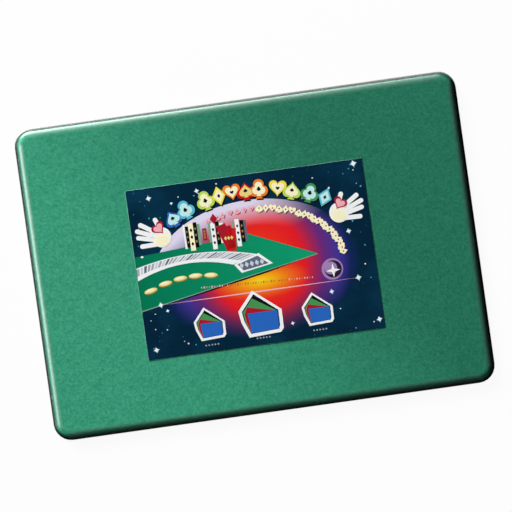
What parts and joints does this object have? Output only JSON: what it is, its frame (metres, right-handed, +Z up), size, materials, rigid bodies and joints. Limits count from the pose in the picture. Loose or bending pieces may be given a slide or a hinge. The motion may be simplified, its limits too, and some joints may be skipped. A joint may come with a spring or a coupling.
{
  "type": "close-up pad",
  "caption": "Rectangular magician's close-up pad: green napped cloth rolled over a sponge core on a non-slip rubber base, with a loose printed insert card.",
  "frame": {"origin": "middle of the underside, where the pad rests on a table", "axes": "+X along the long side to the right of the person facing it, +Y away from that person, +Z up through the playing surface"},
  "size_m": [0.4318, 0.3048, 0.0065],
  "materials": {
    "base_rubber": "matt black natural rubber with a fine moulded grip pattern",
    "sponge": "closed-cell sponge, fine skin",
    "bonding_film": "translucent hot-melt film",
    "nap": "short dense napped pile, matt with a slight mottle",
    "printed_board": "four-colour printed face, white back",
    "gloss": "clear gloss laminating film"
  },
  "bodies": {
    "pad": {"base_sheet": "base_rubber", "sponge_core": "sponge", "glue_film": "bonding_film", "pile_cloth": "nap"},
    "card": {"insert_card": "printed_board", "gloss_film": "gloss"}
  },
  "joints": [
    {"name": "card_lift", "type": "slide", "parent": "pad", "child": "card", "axis": [0, 0, 1], "range_m": [0, 0.06]}
  ]
}
